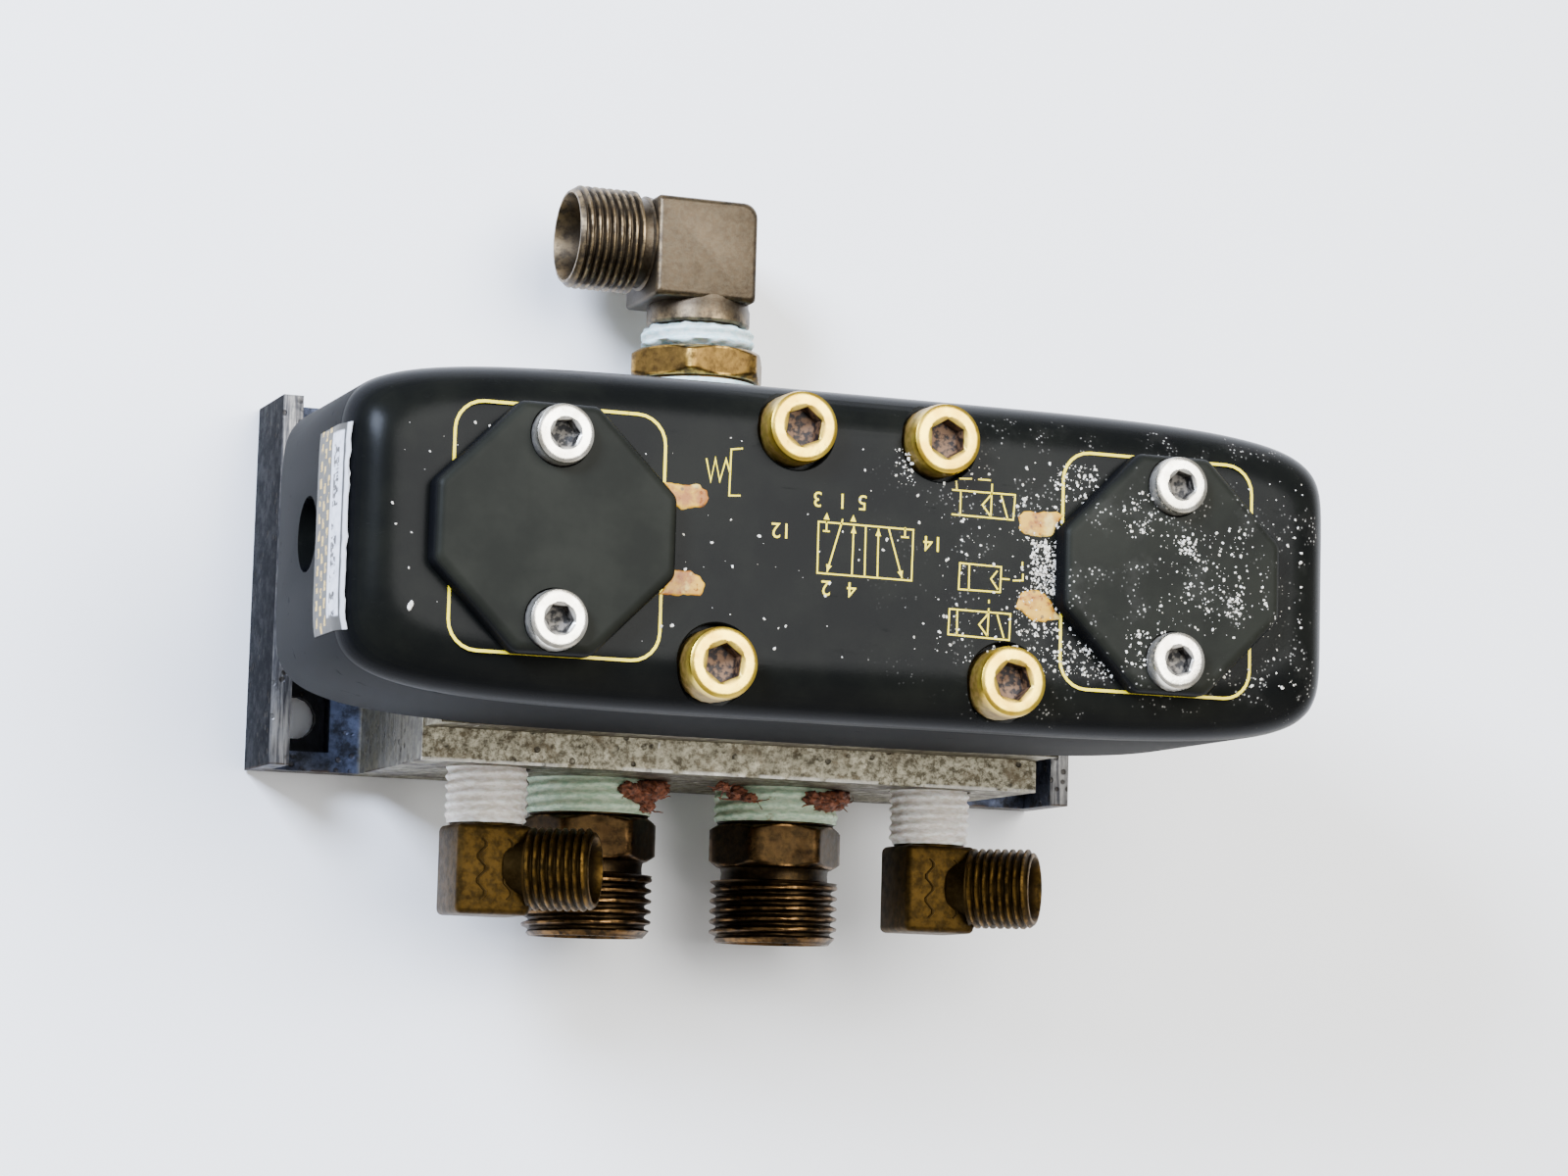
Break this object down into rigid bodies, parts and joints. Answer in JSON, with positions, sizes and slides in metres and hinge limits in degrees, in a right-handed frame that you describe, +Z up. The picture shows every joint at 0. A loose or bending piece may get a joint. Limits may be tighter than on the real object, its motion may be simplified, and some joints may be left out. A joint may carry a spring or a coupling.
{
  "type": "air-piloted spool valve on a sub-base",
  "caption": "Pneumatic spool valve with a rounded black casing, bolted on a side-ported aluminium sub-base with taped brass fittings; an air piston moves its spool and a spring returns it.",
  "frame": {"origin": "centre of the sub-base's underside", "axes": "+X along the valve from its 12 (spring) end to its 14 (air pilot) end, +Y towards the supply fitting's side, +Z up out of the casing's printed face"},
  "size_m": [0.1243, 0.0974, 0.0808],
  "materials": {
    "black_paint": "satin black enamel, worn at the edges",
    "dark_plate": "matt black",
    "cast_aluminium": "as cast and milled, dirty",
    "machined_aluminium": "machined",
    "tarnished_brass": "forged and turned, tarnished",
    "yellow_zinc": "yellow zinc plated",
    "white_zinc": "zinc plated",
    "spring_steel": "drawn wire",
    "nitrile_rubber": "moulded",
    "acetal": "machined",
    "ptfe_tape": "wound thread tape",
    "foil_label": "blank label film"
  },
  "bodies": {
    "valve": {"subbase": "cast_aluminium", "base_gasket": "nitrile_rubber", "valve_casing": "black_paint", "type_plate": "foil_label", "blanking_plate_12": "dark_plate", "plate_gasket_12": "nitrile_rubber", "plate_screw_12_a": "white_zinc", "plate_screw_12_b": "white_zinc", "blanking_plate_14": "dark_plate", "plate_gasket_14": "nitrile_rubber", "plate_screw_14_a": "white_zinc", "plate_screw_14_b": "white_zinc", "mounting_bolt_1": "yellow_zinc", "mounting_bolt_2": "yellow_zinc", "mounting_bolt_3": "yellow_zinc", "mounting_bolt_4": "yellow_zinc", "spool_housing": "machined_aluminium", "spring_housing": "machined_aluminium", "piston_housing": "machined_aluminium", "housing_gasket_12": "nitrile_rubber", "housing_gasket_14": "nitrile_rubber", "return_spring": "spring_steel", "outlet_fitting_2": "tarnished_brass", "outlet_fitting_4": "tarnished_brass", "pilot_elbow_12": "tarnished_brass", "pilot_elbow_14": "tarnished_brass", "supply_bush": "tarnished_brass", "supply_elbow": "tarnished_brass", "thread_tape_2": "ptfe_tape", "thread_tape_4": "ptfe_tape", "thread_tape_12": "ptfe_tape", "thread_tape_14": "ptfe_tape", "thread_tape_bush": "ptfe_tape", "thread_tape_elbow": "ptfe_tape"},
    "spool_set": {"spool": "machined_aluminium", "spool_seal_1": "nitrile_rubber", "spool_seal_2": "nitrile_rubber", "spool_seal_3": "nitrile_rubber", "spool_seal_4": "nitrile_rubber", "spool_seal_5": "nitrile_rubber", "spool_seal_6": "nitrile_rubber"},
    "piston_set": {"pilot_piston": "acetal", "piston_seal": "nitrile_rubber"},
    "spring_seat_body": {"spring_seat": "acetal"}
  },
  "joints": [
    {"name": "spool_slide", "type": "slide", "parent": "valve", "child": "spool_set", "axis": [-1, 0, 0], "range_m": [0, 0.0045], "stiffness_N_per_m": 2500, "springref_m": -0.009, "deforming": ["return_spring"]},
    {"name": "piston_slide", "type": "slide", "parent": "valve", "child": "piston_set", "axis": [-1, 0, 0], "range_m": [0, 0.0045]},
    {"name": "seat_slide", "type": "slide", "parent": "valve", "child": "spring_seat_body", "axis": [-1, 0, 0], "range_m": [0, 0.0045], "deforming": ["return_spring"]}
  ],
  "couplings": [
    {"joint": "piston_slide", "follows": "spool_slide", "ratio": 1},
    {"joint": "seat_slide", "follows": "spool_slide", "ratio": 1}
  ]
}
